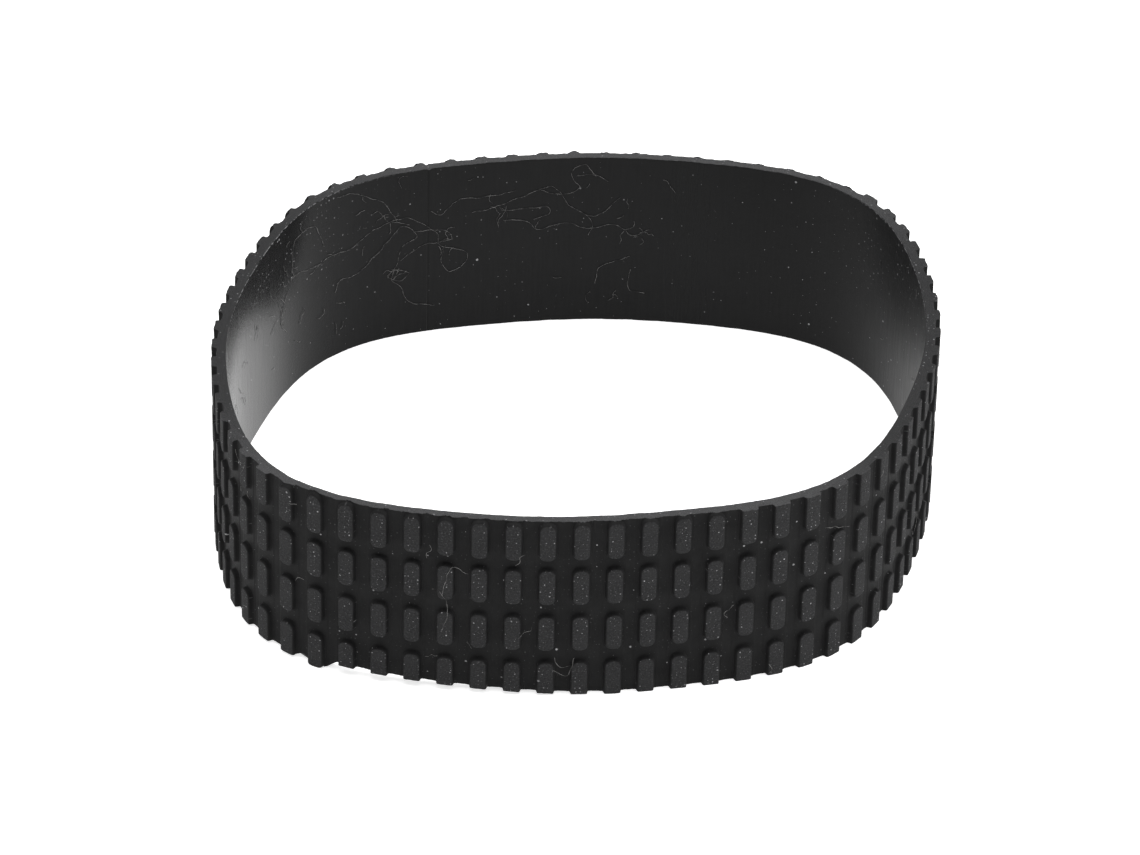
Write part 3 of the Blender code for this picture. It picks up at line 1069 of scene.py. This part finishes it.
def make_inside():
    material, tree, shader = new_material("smooth_rubber", 0.1)
    grain = group_node(tree, GRAIN, Tooth_per_mm=3.0)
    streaks = group_node(tree, STREAKS)
    cloud = ramp(tree, grain.outputs["Cloud"], 0.25, 0.75)
    upright = ramp(tree, streaks.outputs["Upright"], 0.3, 0.7)
    base = mix_colour(tree, cloud, INSIDE_DARK, INSIDE_PALE)
    wiped = mix_colour(tree, upright, base, INSIDE_WIPED)
    along, up = drawing_parts(tree)
    # Mix in the dust specks and the painted highlight along the upper rim at the bends.
    specked = mix_colour(tree, inside_dust_and_edge_highlight(tree, grain, along, up), wiped, INSIDE_DUST_AND_HIGHLIGHT)
    from_seam = math_node(tree, "ABSOLUTE", math_node(tree, "SUBTRACT", along, SEAM_ALONG))
    seam = ramp(tree, from_seam, 0.05, 0.13, 1.0, 0.0)
    tree.links.new(mix_colour(tree, seam, specked, SEAM_DARK), shader.inputs["Base Color"])
    satin = ramp(tree, upright, 0.0, 1.0, 0.16, 0.22)
    scuffed, polished = between(tree, along, *SCUFFED), between(tree, along, *POLISHED)
    roughness = math_node(tree, "MULTIPLY_ADD", scuffed, 0.24, satin)
    tree.links.new(roughness, shader.inputs["Roughness"])
    gloss = math_node(tree, "MULTIPLY_ADD", polished, 0.12, 0.11)
    tree.links.new(gloss, shader.inputs["Specular IOR Level"])
    height = math_node(tree, "MULTIPLY_ADD", upright, 0.06, grain.outputs["Tooth"])
    height = math_node(tree, "SUBTRACT", height, math_node(tree, "MULTIPLY", seam, 3.0))
    add_bump(tree, shader, height, 0.012)
    return material


# %% The cut rims
CUT_DARK, CUT_PALE, CUT_WORN = (0.030, 0.030, 0.031), (0.062, 0.062, 0.064), (0.095, 0.095, 0.097)
CUT_AT_BENDS, CUT_DUST = (0.018, 0.018, 0.0185), (0.30, 0.30, 0.31)


def make_rim():
    material, tree, shader = new_material("cut_rubber", 0.2)
    grain = group_node(tree, GRAIN, Tooth_per_mm=8.0)
    streaks = group_node(tree, STREAKS)
    drag = ramp(tree, streaks.outputs["Along"], 0.3, 0.75)
    tooth = ramp(tree, grain.outputs["Tooth"], 0.3, 0.75)
    base = mix_colour(tree, drag, CUT_DARK, CUT_PALE)
    rim_tone = mix_colour(tree, tooth, base, CUT_WORN)
    bends = at_bends(tree, drawing_parts(tree)[0])
    # The rim colour is darker at the bends than at the front and back.
    rim_tone = mix_colour(tree, math_node(tree, "MULTIPLY", bends, 0.72), rim_tone, CUT_AT_BENDS)
    fine = group_node(tree, DUST, Cells_per_mm=2.0, Share=0.34, Largest_mm=0.1)
    specked = mix_colour(tree, fine.outputs["Mask"], rim_tone, CUT_DUST)
    tree.links.new(specked, shader.inputs["Base Color"])
    tree.links.new(ramp(tree, drag, 0.0, 1.0, 0.62, 0.8), shader.inputs["Roughness"])
    add_bump(tree, shader, math_node(tree, "ADD", drag, tooth), 0.03)
    return material


# %% Lint
LINT_DARK, LINT_PALE = (0.03, 0.03, 0.03), (0.30, 0.295, 0.29)


def make_lint():
    material, tree, shader = new_material("lint_fibre", 0.2)
    grain = group_node(tree, GRAIN, Tooth_per_mm=1.5)
    shade = ramp(tree, grain.outputs["Tooth"], 0.35, 0.65)
    tree.links.new(mix_colour(tree, shade, LINT_DARK, LINT_PALE), shader.inputs["Base Color"])
    shader.inputs["Roughness"].default_value = 0.7
    return material


lint_finish = make_lint()
for piece in lint:
    piece.data.materials.append(lint_finish)
FINISHES = {OUTSIDE: make_outside(), INSIDE: make_inside(), RIM: make_rim()}
for skin in skins:
    for slot in (OUTSIDE, INSIDE, RIM):
        skin.data.materials.append(FINISHES[slot])
print("finishes", [material.name for material in FINISHES.values()])

# %% [markdown]
# ## Floor, light and camera
# Black rubber shows its shape only by what it reflects, so the light is large and soft: a pale floor that
# glows so that it stays white, a big panel overhead and one at each side. The camera stands well back with a
# long lens, as for a catalogue view.

# %% Floor
FLOOR_GLOW = 0.7


def make_floor():
    mesh = bmesh.new()
    bmesh.ops.create_grid(mesh, x_segments=2, y_segments=2, size=4.0)
    data = bpy.data.meshes.new("floor")
    mesh.to_mesh(data)
    mesh.free()
    floor = bpy.data.objects.new("floor", data)
    bpy.context.collection.objects.link(floor)
    material, _, shader = new_material("pale_floor", 0.1)
    shader.inputs["Roughness"].default_value = 0.9
    shader.inputs["Base Color"].default_value = (0.86, 0.86, 0.86, 1.0)
    shader.inputs["Emission Color"].default_value = (1.0, 1.0, 1.0, 1.0)
    shader.inputs["Emission Strength"].default_value = FLOOR_GLOW
    data.materials.append(material)
    floor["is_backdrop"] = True


make_floor()


# %% Light
PANELS = (  # name, place, width and height, watts
    ("overhead_panel", (0.0, 0.1, 1.0), (1.2, 1.2), 13.0),
    ("left_panel", (-0.9, 0.1, 0.35), (0.6, 0.5), 2.5),
    ("right_panel", (0.9, -0.15, 0.35), (0.5, 0.5), 5.0),
)
LIGHT_AIM = Vector((0, 0, 0.01))
WORLD_STRENGTH = 0.12


def add_panel(name, place, size, watts):
    """A soft rectangular light aimed at the middle of the band."""
    light = bpy.data.lights.new(name, "AREA")
    light.shape = "RECTANGLE"
    light.size, light.size_y = size
    light.energy = watts
    panel = bpy.data.objects.new(name, light)
    panel.location = place
    panel.rotation_mode = "QUATERNION"
    panel.rotation_quaternion = (LIGHT_AIM - Vector(place)).to_track_quat("-Z", "Y")
    bpy.context.collection.objects.link(panel)


for panel in PANELS:
    add_panel(*panel)
world = bpy.data.worlds.new("studio")
world.use_nodes = True
background = world.node_tree.nodes["Background"]
background.inputs["Color"].default_value = (1.0, 1.0, 1.0, 1.0)
background.inputs["Strength"].default_value = WORLD_STRENGTH
bpy.context.scene.world = world
bpy.context.scene.view_settings.view_transform = "Standard"

# %% Camera
CAMERA_DISTANCE = 0.605
CAMERA_LENS = 186.3
CAMERA_ELEVATION = math.radians(34.17)
CAMERA_AZIMUTH = math.radians(-4.35)
CAMERA_ROLL = math.radians(1.28)
CAMERA_TARGET = Vector((-0.0008, -0.0027, 0.5 * HEIGHT * MM))


def add_camera():
    data = bpy.data.cameras.new("camera")
    data.lens = CAMERA_LENS
    camera = bpy.data.objects.new("camera", data)
    level = math.cos(CAMERA_ELEVATION)
    forward = Vector((-math.sin(CAMERA_AZIMUTH) * level, math.cos(CAMERA_AZIMUTH) * level,
                      -math.sin(CAMERA_ELEVATION)))
    camera.location = CAMERA_TARGET - CAMERA_DISTANCE * forward
    camera.rotation_mode = "QUATERNION"
    turn = forward.to_track_quat("-Z", "Y")
    camera.rotation_quaternion = turn @ Quaternion((0.0, 0.0, 1.0), CAMERA_ROLL)
    bpy.context.collection.objects.link(camera)
    bpy.context.scene.camera = camera
    return camera


camera = add_camera()
print("camera at", [round(x, 4) for x in camera.location])

# %% Size and finish
bpy.context.view_layer.update()
LOOK_LOW, LOOK_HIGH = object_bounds()
growth = (LOOK_HIGH - LOOK_LOW) - (CAD_HIGH - CAD_LOW)
print("box grows by", [round(side / MM, 2) for side in growth], "mm")
